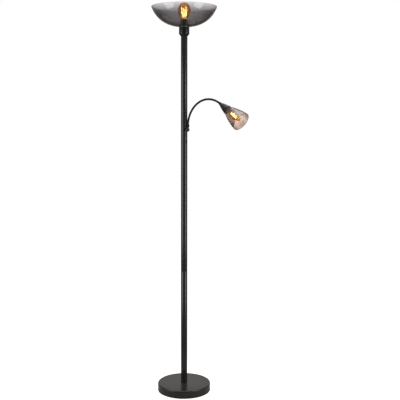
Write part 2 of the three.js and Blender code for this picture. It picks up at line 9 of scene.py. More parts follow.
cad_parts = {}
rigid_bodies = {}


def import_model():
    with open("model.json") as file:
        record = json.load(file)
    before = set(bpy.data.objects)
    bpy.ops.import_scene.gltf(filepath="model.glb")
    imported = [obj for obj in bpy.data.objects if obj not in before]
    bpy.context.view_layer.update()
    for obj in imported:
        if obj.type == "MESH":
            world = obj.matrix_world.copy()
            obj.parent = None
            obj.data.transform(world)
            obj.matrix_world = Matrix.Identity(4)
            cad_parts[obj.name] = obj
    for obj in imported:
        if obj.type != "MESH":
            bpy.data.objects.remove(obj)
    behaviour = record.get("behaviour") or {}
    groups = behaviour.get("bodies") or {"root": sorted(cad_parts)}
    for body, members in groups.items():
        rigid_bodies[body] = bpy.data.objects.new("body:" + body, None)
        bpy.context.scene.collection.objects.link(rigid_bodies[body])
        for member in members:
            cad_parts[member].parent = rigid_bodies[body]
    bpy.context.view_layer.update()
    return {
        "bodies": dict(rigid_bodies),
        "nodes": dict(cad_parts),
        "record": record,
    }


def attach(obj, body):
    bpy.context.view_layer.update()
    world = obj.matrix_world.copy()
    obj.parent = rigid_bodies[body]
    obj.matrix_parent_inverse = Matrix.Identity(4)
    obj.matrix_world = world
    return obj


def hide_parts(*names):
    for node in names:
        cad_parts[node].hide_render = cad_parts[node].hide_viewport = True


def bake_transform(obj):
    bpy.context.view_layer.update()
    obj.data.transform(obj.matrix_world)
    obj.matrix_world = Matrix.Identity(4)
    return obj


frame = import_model()

scene = bpy.context.scene
MM = 0.001
UP = Matrix.Identity(4)

# ---------------------------------------------------------------- dimensions, in millimetres

FIT = 0.3  # clearance between neighbours
SHEET_WALL = 1.2
NIPPLE_HOLE = 5.3  # the hollow nipples at the pole's two ends pass through it

BASE_RADIUS = 125.0
BASE_TOP = 38.0
BASE_EDGE = 1.0  # height of the cover's lower edge
BASE_ROUNDING = 5.0
INLET_HEIGHT = 7.0
INLET_RADIUS = 4.3
PAD_RADIUS = 120.5
PAD_THICKNESS = 2.0

TUBE_RADIUS = 15.0
TUBE_ROUNDING = 0.55
SEAM_LOWER = 579.0
SEAM_UPPER = 1139.7
POLE_TOP = 1671.0
COLLAR_RADIUS = 23.75
COLLAR_BOTTOM = 1668.5
COLLAR_FLOOR = 1674.0
COLLAR_TOP = 1708.9
COLLAR_MOUTH = 20.4
COLLAR_WALL = 1.9

HOLDER_RADIUS = 18.0
HOLDER_BORE = 14.4
HOLDER_BOTTOM = 1682.0
HOLDER_TOP = 1738.5
RETAINER_RADIUS = 24.0
RETAINER_BOTTOM = 1713.3
RETAINER_HEIGHT = 5.0

RIM_RADIUS = 150.0
RIM_TOP = 1800.0
BOWL_HEIGHT = 91.2
BOWL_HOLE = 20.5
BOWL_SEAT = 25.0  # the glass is flat inside this radius
GLASS_WALL = 3.0

GLOBE_RADIUS = 30.0
GLOBE_NECK = 12.2
GLOBE_CAP = 1712.0
GLOBE_FOOT = 1731.6
GLOBE_WIDEST = 1775.0
GLOBE_TOP = 1817.95  # just inside the CAD's 1818
GLOBE_WALL = 1.0
CAP_RADIUS = 13.1

ARM_AZIMUTH = math.radians(-40)
SWITCHES = {"upper": 1221.0, "lower": 1189.0}
WINDOW_WIDTH = 11.0
WINDOW_HEIGHT = 18.8
WINDOW_ROUNDING = 1.4
KEY_WIDTH = 9.8
KEY_HEIGHT = 16.0
KEY_FACE = 3.9  # the middle of the key's face, out from its pivot
KEY_DISH = 0.8  # how far the face's two ends stand out past its middle
KEY_PIVOT = 10.4
KEY_TILT = math.radians(-8)
KNUCKLE = Vector((20.5, 0.0, 1244.0))
KNUCKLE_RADIUS = 9.7
STUD_HOLE = 4.3

NECK_OFFSET = 23.0
NECK_FOOT = 1260.4
NECK_ARC = 121.0
NECK_SWEEP = math.radians(124.05)
NECK_TAIL = 6.0
NECK_PITCH = 32.0
NECK_LINKS = 8
NECK_RADIUS = 4.75
NECK_ROOT = 4.5  # how far the neck goes down into its lower ferrule
NECK_END = 9.0  # how much longer its last link is, to end inside the upper one
FERRULE_BORE = 5.05
FERRULE_MOUTH = 7.0  # how far up the neck the lower ferrule reaches
LOWER_FERRULE_RADIUS = 6.8
UPPER_FERRULE_RADIUS = 6.9
FERRULE_STUD = 3.8
RIB_PITCH = 2.0
RIB_DEPTH = 0.25

# Heights on the reading head are along its own +Z, from the neck's end.
LEAD_HOLE = 4.1
CONE_RADIUS = 21.0
CONE_FOOT = 0.8
CONE_LENGTH = 46.0
SHADE_RADIUS = 43.5
SHADE_HOLE = 13.0
SHADE_FOOT = 40.0
SHADE_LENGTH = 135.0
SHADE_WALL = 2.2
SMALL_HOLDER_RADIUS = 12.3
SMALL_HOLDER_BORE = 8.2
SMALL_HOLDER_BOTTOM = 18.0
SMALL_HOLDER_TOP = 54.0
SHOULDER_RADIUS = 16.2
CANDLE_CAP = 29.0
SMALL_CAP_RADIUS = 7.1
CANDLE_FOOT = 46.0
CANDLE_NECK = 6.2
CANDLE_RADIUS = 17.5
CANDLE_WIDEST = 82.0
CANDLE_TIP = 127.0
CANDLE_WALL = 0.8

ARM = Matrix.Rotation(ARM_AZIMUTH, 4, "Z")


def neck_frame(length):
    """The frame at a length along the neck, which is an arc with a straight tail. +Z is along the neck."""
    angle = min(length / NECK_ARC, NECK_SWEEP)
    x = NECK_OFFSET + NECK_ARC * (1 - math.cos(angle))
    z = NECK_FOOT + NECK_ARC * math.sin(angle)
    tail = Matrix.Translation((0, 0, length - angle * NECK_ARC))
    return ARM @ Matrix.Translation((x, 0, z)) @ Matrix.Rotation(angle, 4, "Y") @ tail


def out_from_pole(distance, height):
    """The frame at that distance from the pole's axis, on the arm's side, with +Z pointing outwards."""
    return ARM @ Matrix.Translation((distance, 0, height)) @ Matrix.Rotation(math.pi / 2, 4, "Y")


HEAD = neck_frame(NECK_ARC * NECK_SWEEP + NECK_TAIL)

# ---------------------------------------------------------------- materials


def tree_of(name):
    """A new material with its node tree and its output node."""
    material = bpy.data.materials.new(name)
    material.use_nodes = True
    tree = material.node_tree
    tree.nodes.clear()
    output = tree.nodes.new("ShaderNodeOutputMaterial")
    return material, tree, output


def add(tree, kind, **values):
    """A node of that kind. Inputs are given by name with underscores, properties as they are."""
    node = tree.nodes.new(kind)
    for key, value in values.items():
        if hasattr(node, key):
            setattr(node, key, value)
        else:
            node.inputs[key.replace("_", " ")].default_value = value
    return node


def grain(tree, scale, detail=3.0, stretch=(1, 1, 1)):
    """Noise that follows the object. scale is about how many cells there are in a metre."""
    place = add(tree, "ShaderNodeTexCoord")
    mapping = add(tree, "ShaderNodeMapping")
    mapping.inputs["Scale"].default_value = stretch
    noise = add(tree, "ShaderNodeTexNoise", Scale=scale, Detail=detail, Roughness=0.55)
    tree.links.new(place.outputs["Object"], mapping.inputs["Vector"])
    tree.links.new(mapping.outputs["Vector"], noise.inputs["Vector"])
    return noise


def span(tree, source, low, high, from_low=0.0, from_high=1.0):
    """The source's range from from_low to from_high, carried to the range from low to high."""
    node = add(tree, "ShaderNodeMapRange")
    node.inputs["From Min"].default_value = from_low
    node.inputs["From Max"].default_value = from_high
    node.inputs["To Min"].default_value = low
    node.inputs["To Max"].default_value = high
    tree.links.new(source, node.inputs["Value"])
    return node.outputs["Result"]


def ramp(tree, source, stops):
    """A colour ramp over the source, from (position, colour) stops."""
    node = add(tree, "ShaderNodeValToRGB")
    bands = node.color_ramp.elements
    while len(bands) < len(stops):
        bands.new(0.5)
    for band, (position, colour) in zip(bands, stops):
        band.position = position
        band.color = (*colour, 1)
    tree.links.new(source, node.inputs["Fac"])
    return node.outputs["Color"]


def bump(tree, source, strength, distance):
    """A normal that makes the source look like a relief of up to distance metres deep."""
    node = add(tree, "ShaderNodeBump", Strength=strength, Distance=distance)
    tree.links.new(source, node.inputs["Height"])
    return node.outputs["Normal"]


def surface(
    name,
    dark,
    light,
    roughness,
    scale,
    relief=0.0,
    relief_scale=1500.0,
    metallic=0.0,
    wear=None,
    stretch=(1, 1, 1),
    specular=0.5,
    sheen=0.0,
):
    """A solid surface: colour that varies between dark and light, roughness that varies, a fine relief,
    and, with wear, edges that are rubbed to that colour."""
    material, tree, output = tree_of(name)
    shader = add(tree, "ShaderNodeBsdfPrincipled", Metallic=metallic)
    shader.inputs["Specular IOR Level"].default_value = specular
    shader.inputs["Sheen Weight"].default_value = sheen
    broad = grain(tree, scale, stretch=stretch)
    colour = ramp(tree, broad.outputs["Fac"], [(0.3, dark), (0.7, light)])
    if wear is not None:
        edges = add(tree, "ShaderNodeNewGeometry")
        chips = grain(tree, 260.0)
        rubbed = add(tree, "ShaderNodeMath", operation="MULTIPLY")
        tree.links.new(span(tree, edges.outputs["Pointiness"], 0.0, 1.0, 0.53, 0.6), rubbed.inputs[0])
        tree.links.new(span(tree, chips.outputs["Fac"], 0.0, 0.6, 0.4, 0.7), rubbed.inputs[1])
        mix = add(tree, "ShaderNodeMix", data_type="RGBA")
        mix.inputs[7].default_value = (*wear, 1)
        tree.links.new(rubbed.outputs[0], mix.inputs[0])
        tree.links.new(colour, mix.inputs[6])
        colour = mix.outputs[2]
    tree.links.new(colour, shader.inputs["Base Color"])
    smudges = grain(tree, scale * 2.3, stretch=stretch)
    low, high = roughness
    tree.links.new(span(tree, smudges.outputs["Fac"], low, high, 0.3, 0.7), shader.inputs["Roughness"])
    if relief:
        fine = grain(tree, relief_scale, detail=2.0, stretch=stretch)
        tree.links.new(bump(tree, fine.outputs["Fac"], relief, 0.0002), shader.inputs["Normal"])
    tree.links.new(shader.outputs[0], output.inputs["Surface"])
    return material


def glass(
    name, film, clear_tint, edge_tint, opacity, edge_opacity, ior,
    gradient=None, roughness=0.04, wave=0.08, glow=None, glow_strength=0.0,
):
    """Thin tinted glass: a tinted see-through layer under a reflecting film, both denser at the
    silhouette. gradient gives (origin, direction, length, factor) in metres: along that line the film's
    share grows or shrinks to the factor. glow is the light that a lit bulb's film scatters."""
    material, tree, output = tree_of(name)
    shader = add(tree, "ShaderNodeBsdfPrincipled")
    shader.inputs["IOR"].default_value = ior
    uneven = grain(tree, 28.0)
    stained = ramp(tree, uneven.outputs["Fac"], [(0.3, film), (0.7, [1.25 * c for c in film])])
    tree.links.new(stained, shader.inputs["Base Color"])
    tree.links.new(span(tree, uneven.outputs["Fac"], roughness, roughness + 0.03), shader.inputs["Roughness"])
    ripple = grain(tree, 14.0, detail=1.0)
    tree.links.new(bump(tree, ripple.outputs["Fac"], wave, 0.002), shader.inputs["Normal"])
    through = add(tree, "ShaderNodeBsdfTransparent")
    facing = add(tree, "ShaderNodeLayerWeight", Blend=0.5)
    edge = add(tree, "ShaderNodeMath", operation="POWER")
    edge.inputs[1].default_value = 2.5
    tree.links.new(facing.outputs["Facing"], edge.inputs[0])
    tint = ramp(tree, edge.outputs[0], [(0.0, clear_tint), (0.9, edge_tint)])
    tree.links.new(tint, through.inputs["Color"])
    solid = span(tree, edge.outputs[0], opacity, edge_opacity)
    if glow is not None:
        shader.inputs["Emission Color"].default_value = (*glow, 1)
        patchy = grain(tree, 45.0, detail=1.0)
        level = span(tree, patchy.outputs["Fac"], 0.6 * glow_strength, 1.4 * glow_strength, 0.35, 0.65)
        tree.links.new(level, shader.inputs["Emission Strength"])
    if gradient is not None:
        origin, direction, length, factor = gradient
        place = add(tree, "ShaderNodeTexCoord")
        shift = add(tree, "ShaderNodeVectorMath", operation="SUBTRACT")
        shift.inputs[1].default_value = origin
        along = add(tree, "ShaderNodeVectorMath", operation="DOT_PRODUCT")
        along.inputs[1].default_value = direction
        tree.links.new(place.outputs["Object"], shift.inputs[0])
        tree.links.new(shift.outputs[0], along.inputs[0])
        thinner = span(tree, along.outputs["Value"], 1.0, factor, 0.0, length)
        scaled = add(tree, "ShaderNodeMath", operation="MULTIPLY")
        tree.links.new(solid, scaled.inputs[0])
        tree.links.new(thinner, scaled.inputs[1])
        solid = scaled.outputs[0]
    mix = add(tree, "ShaderNodeMixShader")
    tree.links.new(solid, mix.inputs[0])
    tree.links.new(through.outputs[0], mix.inputs[1])
    tree.links.new(shader.outputs[0], mix.inputs[2])
    tree.links.new(mix.outputs[0], output.inputs["Surface"])
    return material


def glowing(name, colour, strength):
    """A hot filament, a little brighter in some places than in others."""
    material, tree, output = tree_of(name)
    shader = add(tree, "ShaderNodeBsdfPrincipled")
    hot = grain(tree, 180.0)
    cold, warm = [0.02 * c for c in colour], [0.05 * c for c in colour]
    tree.links.new(ramp(tree, hot.outputs["Fac"], [(0.3, cold), (0.7, warm)]), shader.inputs["Base Color"])
    shader.inputs["Emission Color"].default_value = (*colour, 1)
    level = span(tree, hot.outputs["Fac"], 0.7 * strength, 1.3 * strength, 0.3, 0.7)
    tree.links.new(level, shader.inputs["Emission Strength"])
    tree.links.new(shader.outputs[0], output.inputs["Surface"])
    return material


MATERIALS = {
    "black_coat": surface(
        "satin_powder_coat", dark=(0.0065, 0.0056, 0.0052), light=(0.0105, 0.0091, 0.0084),
        roughness=(0.20, 0.29), scale=18.0, relief=0.05, relief_scale=1400.0,
        wear=(0.10, 0.09, 0.085), specular=0.55,
    ),
    "neck_black": surface(
        "neck_lacquer", dark=(0.004, 0.004, 0.004), light=(0.008, 0.0075, 0.0075),
        roughness=(0.40, 0.55), scale=30.0, relief=0.08, relief_scale=1800.0,
        wear=(0.03, 0.029, 0.028), specular=0.2,
    ),
    "black_plastic": surface(
        "moulded_black_plastic", dark=(0.006, 0.006, 0.006), light=(0.011, 0.011, 0.011),
        roughness=(0.42, 0.58), scale=40.0, relief=0.4, relief_scale=2600.0,
        wear=(0.03, 0.03, 0.03), specular=0.45,
    ),
    "key_plastic": surface(
        "glossy_key_plastic", dark=(0.006, 0.006, 0.006), light=(0.010, 0.010, 0.010),
        roughness=(0.2, 0.34), scale=60.0, relief=0.12, relief_scale=3000.0,
        wear=(0.025, 0.025, 0.025), specular=0.5,
    ),
    "zinc_steel": surface(
        "zinc_plated_steel", dark=(0.50, 0.51, 0.52), light=(0.66, 0.66, 0.64),
        roughness=(0.25, 0.42), scale=55.0, relief=0.15, relief_scale=2200.0,
        metallic=1.0, stretch=(1, 1, 0.15),
    ),
    "cast_iron": surface(
        "cast_iron_sand_finish", dark=(0.045, 0.042, 0.040), light=(0.11, 0.10, 0.095),
        roughness=(0.62, 0.85), scale=35.0, relief=0.9, relief_scale=700.0,
        metallic=0.6,
    ),
    "brass": surface(
        "drawn_brass", dark=(0.55, 0.36, 0.12), light=(0.75, 0.52, 0.20),
        roughness=(0.22, 0.38), scale=70.0, relief=0.1, relief_scale=2400.0,
        metallic=1.0, stretch=(0.2, 0.2, 1),
    ),
    "nickel": surface(
        "nickel_plate", dark=(0.58, 0.56, 0.52), light=(0.72, 0.70, 0.66),
        roughness=(0.16, 0.3), scale=60.0, relief=0.08, relief_scale=2600.0,
        metallic=1.0,
    ),
    "rubber": surface(
        "moulded_rubber", dark=(0.010, 0.010, 0.010), light=(0.020, 0.020, 0.019),
        roughness=(0.7, 0.9), scale=90.0, relief=0.5, relief_scale=2400.0,
        specular=0.3,
    ),
    "silicone": surface(
        "clear_grey_silicone", dark=(0.45, 0.45, 0.43), light=(0.60, 0.60, 0.57),
        roughness=(0.45, 0.62), scale=90.0, relief=0.2, relief_scale=2000.0,
        specular=0.4,
    ),
    "felt": surface(
        "pressed_felt", dark=(0.008, 0.008, 0.008), light=(0.030, 0.029, 0.028),
        roughness=(0.9, 1.0), scale=900.0, relief=1.0, relief_scale=1600.0,
        sheen=0.3, specular=0.1,
    ),
    "ceramic": surface(
        "glazed_steatite", dark=(0.70, 0.67, 0.60), light=(0.80, 0.78, 0.72),
        roughness=(0.18, 0.3), scale=120.0, relief=0.1, relief_scale=1500.0,
    ),
    "lead_sheath": surface(
        "cable_sheath", dark=(0.010, 0.010, 0.010), light=(0.018, 0.018, 0.018),
        roughness=(0.45, 0.6), scale=120.0, relief=0.3, relief_scale=2500.0,
    ),
    "filament": glowing("hot_filament", colour=(1.0, 0.86, 0.62), strength=18.0),
}

SMOKE_CLEAR = (0.97, 0.955, 0.965)
BOWL_FADE_START = (0, 0, MM * (RIM_TOP - 32))
BOWL_SMOKE = glass(
    "smoked_bowl_glass", film=(0.030, 0.028, 0.028), clear_tint=SMOKE_CLEAR, edge_tint=(0.46, 0.44, 0.45),
    opacity=0.53, edge_opacity=0.82, ior=2.3, roughness=0.11,
    gradient=(BOWL_FADE_START, (0, 0, 1), 0.029, 0.34),
)
HEAD_AXIS = tuple(HEAD.to_3x3() @ Vector((0, 0, 1)))
SHADE_FADE_START = tuple(MM * (HEAD @ Vector((0, 0, 72))))
SHADE_SMOKE = glass(
    "smoked_shade_glass", film=(0.045, 0.038, 0.036), clear_tint=SMOKE_CLEAR, edge_tint=(0.40, 0.37, 0.40),
    opacity=0.26, edge_opacity=0.52, ior=2.5, wave=0.04,
    gradient=(SHADE_FADE_START, HEAD_AXIS, 0.058, 1.9),
)
AMBER = glass(
    "amber_bulb_glass", film=(0.016, 0.010, 0.0035), clear_tint=(0.95, 0.80, 0.50),
    edge_tint=(0.76, 0.57, 0.34), opacity=0.14, edge_opacity=0.40, ior=1.5, roughness=0.02, wave=0.02,
    glow=(1.0, 0.60, 0.23), glow_strength=0.26,
)
CLEAR = glass(
    "clear_stem_glass", film=(0.5, 0.5, 0.5), clear_tint=(0.97, 0.97, 0.95), edge_tint=(0.7, 0.7, 0.7),
    opacity=0.08, edge_opacity=0.4, ior=1.5, roughness=0.02, wave=0.02,
)

# ---------------------------------------------------------------- mesh helpers

SHARP_EDGE = 38.0  # degrees between faces, above which an edge stays sharp


def finish_mesh(name, vertices, faces, place, material, sharp=SHARP_EDGE):
    """An object from points in millimetres, brought to its place in metres, with its smooth shading."""
    mesh = bpy.data.meshes.new(name)
    mesh.from_pydata(vertices, [], faces)
    mesh.transform(Matrix.Scale(MM, 4) @ place)
    mesh.validate()
    mesh.update()
    mesh.shade_smooth()
    mesh.set_sharp_from_angle(angle=math.radians(sharp))
    obj = bpy.data.objects.new(name, mesh)
    scene.collection.objects.link(obj)
    mesh.materials.append(material)
    return obj


def signed_volume(vertices, faces):
    """Six times the volume, below zero where the faces point inwards."""
    total = 0.0
    for face in faces:
        a = vertices[face[0]]
        for i in range(1, len(face) - 1):
            b, c = vertices[face[i]], vertices[face[i + 1]]
            total += (
                a[0] * (b[1] * c[2] - b[2] * c[1])
                - a[1] * (b[0] * c[2] - b[2] * c[0])
                + a[2] * (b[0] * c[1] - b[1] * c[0])
            )
    return total


def rounded(corners, steps=5):
    """A closed outline from (x, y, fillet) corners, each corner turned into an arc."""
    points = []
    count = len(corners)
    for i, (x, y, fillet) in enumerate(corners):
        here = Vector((x, y))
        if fillet <= 0:
            points.append((x, y))
            continue
        back = Vector(corners[i - 1][:2]) - here
        ahead = Vector(corners[(i + 1) % count][:2]) - here
        half = back.angle(ahead) / 2
        reach = min(fillet / math.tan(half), 0.49 * back.length, 0.49 * ahead.length)
        radius = reach * math.tan(half)
        centre = here + (back.normalized() + ahead.normalized()).normalized() * (radius / math.sin(half))
        first = here + back.normalized() * reach - centre
        last = here + ahead.normalized() * reach - centre
        turn = first.angle(last)
        for k in range(steps + 1):
            t = k / steps
            spoke = (math.sin((1 - t) * turn) * first + math.sin(t * turn) * last) / math.sin(turn)
            points.append(tuple(centre + spoke))
    return points


def lathe(name, profile, material, segments=96, place=UP, swell=None):
    """A closed solid turned about +Z from a closed outline of (radius, height) points. swell says how far
    a point moves outwards, from its angle and its radius."""
    vertices, rings = [], []
    for radius, height in profile:
        if radius < 1e-6:
            rings.append([len(vertices)] * segments)
            vertices.append((0.0, 0.0, height))
            continue
        rings.append(list(range(len(vertices), len(vertices) + segments)))
        for k in range(segments):
            angle = 2 * math.pi * k / segments
            r = radius + (swell(angle, radius) if swell else 0.0)
            vertices.append((r * math.cos(angle), r * math.sin(angle), height))
    faces = []
    for i, low in enumerate(rings):
        high = rings[(i + 1) % len(rings)]
        if low[0] == low[1] and high[0] == high[1]:
            continue
        for k in range(segments):
            n = (k + 1) % segments
            face = [low[k], low[n], high[n], high[k]]
            if low[k] == low[n]:
                face = [low[k], high[n], high[k]]
            elif high[k] == high[n]:
                face = [low[k], low[n], high[k]]
            faces.append(face)
    if signed_volume(vertices, faces) < 0:
        faces = [face[::-1] for face in faces]
    return finish_mesh(name, vertices, faces, place, material)


def prism(name, outline, depth, material, place=UP):
    """An outline of (x, y) points carried along +Z from 0 to depth."""
    count = len(outline)
    vertices = [(x, y, 0.0) for x, y in outline] + [(x, y, depth) for x, y in outline]
    faces = [list(range(count))[::-1], list(range(count, 2 * count))]
    faces += [[i, (i + 1) % count, count + (i + 1) % count, count + i] for i in range(count)]
    if signed_volume(vertices, faces) < 0:
        faces = [face[::-1] for face in faces]
    return finish_mesh(name, vertices, faces, place, material)


def settled(obj):
    """The object with its modifiers worked into its mesh."""
    depsgraph = bpy.context.evaluated_depsgraph_get()
    mesh = bpy.data.meshes.new_from_object(obj.evaluated_get(depsgraph))
    obj.modifiers.clear()
    old, obj.data = obj.data, mesh
    bpy.data.meshes.remove(old)
    mesh.shade_smooth()
    mesh.set_sharp_from_angle(angle=math.radians(SHARP_EDGE))
    return obj


def carved(obj, tool, operation="DIFFERENCE"):
    """obj with tool cut out of it or joined to it. The tool is used up."""
    change = obj.modifiers.new("carve", "BOOLEAN")
    change.operation = operation
    change.solver = "EXACT"
    change.object = tool
    settled(obj)
    bpy.data.objects.remove(tool)
    return obj


def softened(obj, width):
    """obj with its edges rounded over by width, in millimetres."""
    change = obj.modifiers.new("edges", "BEVEL")
    change.width = width * MM
    change.segments = 3
    change.limit_method = "ANGLE"
    change.angle_limit = math.radians(30)
    change.harden_normals = False
    return settled(obj)


def bezier(p0, p1, p2, p3, steps):
    """Points on a cubic curve, the first left out."""
    out = []
    for i in range(1, steps + 1):
        t = i / steps
        a, b, c, d = (1 - t) ** 3, 3 * t * (1 - t) ** 2, 3 * t * t * (1 - t), t**3
        out.append(tuple(a * p0[k] + b * p1[k] + c * p2[k] + d * p3[k] for k in (0, 1)))
    return out


def quadratic(p0, p1, p2, steps):
    """Points on a quadratic curve, the first left out."""
    out = []
    for i in range(1, steps + 1):
        t = i / steps
        out.append(tuple((1 - t) ** 2 * p0[k] + 2 * t * (1 - t) * p1[k] + t * t * p2[k] for k in (0, 1)))
    return out


def rod(radius, bottom, top):
    """The outline of a solid cylinder."""
    return [(0, bottom), (radius, bottom), (radius, top), (0, top)]


def band(inner, outer, bottom, top, fillets, steps=5):
    """The outline of a ring, with the fillets of its four edges: inner and outer below, outer and inner
    above."""
    corners = ((inner, bottom), (outer, bottom), (outer, top), (inner, top))
    return rounded([(*corner, fillet) for corner, fillet in zip(corners, fillets)], steps)


def thread_outline(radius, bottom, top, pitch, depth):
    """The outside of a coarse round thread, from bottom to top, as rings."""
    points = []
    steps = int(round((top - bottom) / pitch * 6))
    for i in range(steps + 1):
        z = bottom + (top - bottom) * i / steps
        points.append((radius - depth * (0.5 - 0.5 * math.cos(2 * math.pi * (z - bottom) / pitch)), z))
    return points


def grips(count, depth, inner_radius):
    """A swell for a lathe: round ribs up the outside of a ring."""

    def swell(angle, radius):
        return 0.0 if radius < inner_radius else -depth * abs(math.sin(count * angle / 2))

    return swell


def walled(outside, wall, round_end=False):
    """The closed outline of a wall with that outside line, and with a round lip at its end if asked."""
    inside = []
    for i, point in enumerate(outside):
        before, after = outside[max(i - 1, 0)], outside[min(i + 1, len(outside) - 1)]
        dr, dz = after[0] - before[0], after[1] - before[1]
        size = math.hypot(dr, dz)
        inside.append((max(point[0] - wall * dz / size, 0.0), point[1] + wall * dr / size))
    if not round_end:
        return outside + inside[::-1]
    a, b = Vector(outside[-1]), Vector(inside[-1])
    centre, radius = (a + b) / 2, (a - b).length / 2
    ahead = Vector((-(a - b).y, (a - b).x)).normalized()
    if ahead.dot(Vector(outside[-1]) - Vector(outside[-2])) < 0:
        ahead = -ahead
    across = (a - b).normalized()
    lip = []
    for k in range(1, 8):
        angle = math.pi * k / 8
        lip.append(tuple(centre + across * radius * math.cos(angle) + ahead * radius * math.sin(angle)))
    return outside + lip + inside[::-1]


def piece(obj, body, node):
    """obj rides on that body and stands for that CAD node, which is hidden."""
    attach(obj, body)
    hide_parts(node)


# ---------------------------------------------------------------- base

base = lathe(
    "base_shell",
    rounded(
        [
            (BASE_RADIUS, BASE_EDGE, 0.5), (BASE_RADIUS, BASE_TOP, BASE_ROUNDING),
            (NIPPLE_HOLE, BASE_TOP, 0), (NIPPLE_HOLE, BASE_TOP - SHEET_WALL, 0),
            (BASE_RADIUS - SHEET_WALL, BASE_TOP - SHEET_WALL, BASE_ROUNDING - SHEET_WALL),
            (BASE_RADIUS - SHEET_WALL, BASE_EDGE, 0.4),
        ],
        steps=8,
    ),
    MATERIALS["black_coat"],
    segments=160,
)
INLET_PLACE = Matrix.Translation((0, BASE_RADIUS, INLET_HEIGHT)) @ Matrix.Rotation(-math.pi / 2, 4, "X")
hole = lathe(
    "inlet_cutter", rod(INLET_RADIUS, -10, 10), MATERIALS["rubber"], segments=40, place=INLET_PLACE
)
piece(carved(base, hole), "stand", "base_cover")

GROMMET_BORE = 3.1
GROMMET_FLANGE = 5.4
grommet_waist = INLET_RADIUS - FIT
grommet = lathe(
    "inlet_grommet",
    rounded(
        [
            (GROMMET_BORE, -3.7, 0.3), (GROMMET_FLANGE, -3.7, 0.5), (GROMMET_FLANGE, -2.1, 0.3),
            (grommet_waist, -2.1, 0), (grommet_waist, 0.3, 0),
            (GROMMET_FLANGE, 0.3, 0.2), (GROMMET_FLANGE - 0.2, 1.9, 0.7), (GROMMET_BORE, 1.9, 0.6),
        ]
    ),
    MATERIALS["rubber"],
    segments=48,
    place=INLET_PLACE,
)
piece(grommet, "stand", "cord_grommet")

pad = lathe(
    "felt_pad", band(0, PAD_RADIUS, 0, PAD_THICKNESS, (0, 0.8, 0.6, 0)), MATERIALS["felt"], segments=128
)
piece(pad, "stand", "floor_pad")

# ---------------------------------------------------------------- pole

TUBE_EDGES = (0, TUBE_ROUNDING, TUBE_ROUNDING, 0)
for name, bottom, top in (
    ("lower", BASE_TOP + FIT, SEAM_LOWER),
    ("middle", SEAM_LOWER + FIT, SEAM_UPPER),
    ("upper", SEAM_UPPER + FIT, POLE_TOP),
):
    tube_outline = band(TUBE_RADIUS - SHEET_WALL, TUBE_RADIUS, bottom, top, TUBE_EDGES, steps=3)
    tube = lathe(f"pole_tube_{name}", tube_outline, MATERIALS["black_coat"], segments=64)
    if name == "upper":
        signs = ((-1, -1), (1, -1), (1, 1), (-1, 1))
        window = rounded([(a * WINDOW_WIDTH / 2, b * WINDOW_HEIGHT / 2, WINDOW_ROUNDING) for a, b in signs])
        # The cutter's +X points down the pole, so the window's height comes first.
        upright_window = [(y, x) for x, y in window]
        for height in SWITCHES.values():
            place = out_from_pole(10, height)
            carved(tube, prism("window_cutter", upright_window, 8, MATERIALS["rubber"], place=place))
        place = out_from_pole(5, KNUCKLE.z)
        carved(tube, lathe("stud_cutter", rod(STUD_HOLE, 0, 20), MATERIALS["rubber"], 32, place))
    piece(tube, "stand", f"pole_{name}")

# ---------------------------------------------------------------- collar and main holder

collar_foot = TUBE_RADIUS + FIT
collar_bore = COLLAR_RADIUS - COLLAR_WALL
collar = lathe(
    "top_cap",
    rounded(
        [
            (collar_foot, COLLAR_BOTTOM, 0), (16.4, COLLAR_BOTTOM, 0.3),
            (COLLAR_RADIUS, COLLAR_BOTTOM + 9, 1.6), (COLLAR_RADIUS, COLLAR_TOP, 1.0),
            (COLLAR_MOUTH, COLLAR_TOP, 0.4), (COLLAR_MOUTH, COLLAR_TOP - 3, 0),
            (collar_bore, COLLAR_TOP - 4.5, 0), (collar_bore, COLLAR_FLOOR + 5, 0),
            (16, COLLAR_FLOOR, 0), (NIPPLE_HOLE, COLLAR_FLOOR, 0),
            (NIPPLE_HOLE, POLE_TOP + FIT, 0), (collar_foot, POLE_TOP + FIT, 0),
        ]
    ),
    MATERIALS["black_coat"],
    segments=96,
)
piece(collar, "stand", "top_collar")

gasket_bottom = COLLAR_TOP + FIT
gasket = lathe(
    "seat_gasket", band(20.8, 23.4, gasket_bottom, gasket_bottom + 0.5, (0.1, 0.1, 0.1, 0.1), steps=2),
    MATERIALS["silicone"], segments=72,
)
piece(gasket, "stand", "bowl_gasket")

retaining_ring = lathe(
    "retaining_ring",
    band(
        HOLDER_RADIUS + FIT, RETAINER_RADIUS, RETAINER_BOTTOM, RETAINER_BOTTOM + RETAINER_HEIGHT,
        (0.3, 0.6, 0.9, 0.5),
    ),
    MATERIALS["black_plastic"],
    segments=216,
    swell=grips(36, 0.55, 20),
)
piece(retaining_ring, "stand", "bowl_ring")

holder_outline = [
    (NIPPLE_HOLE, HOLDER_BOTTOM), (14.6, HOLDER_BOTTOM), (15.4, HOLDER_BOTTOM + 0.5),
    (17.9, HOLDER_BOTTOM + 4.2),
]
holder_outline += thread_outline(HOLDER_RADIUS, HOLDER_BOTTOM + 5, HOLDER_BOTTOM + 51, 3.0, 0.7)
holder_outline += [
    (HOLDER_RADIUS, HOLDER_TOP - 3.5), (HOLDER_RADIUS, HOLDER_TOP - 0.8), (17.6, HOLDER_TOP),
    (17.1, HOLDER_TOP), (16.9, HOLDER_TOP - 0.4), (HOLDER_BORE, HOLDER_TOP - 2.5),
    (HOLDER_BORE, HOLDER_BOTTOM + 6), (NIPPLE_HOLE, HOLDER_BOTTOM + 6),
]
holder = lathe("lamp_holder", holder_outline, MATERIALS["black_plastic"], segments=72)
piece(holder, "stand", "e27_socket")

# ---------------------------------------------------------------- bowl

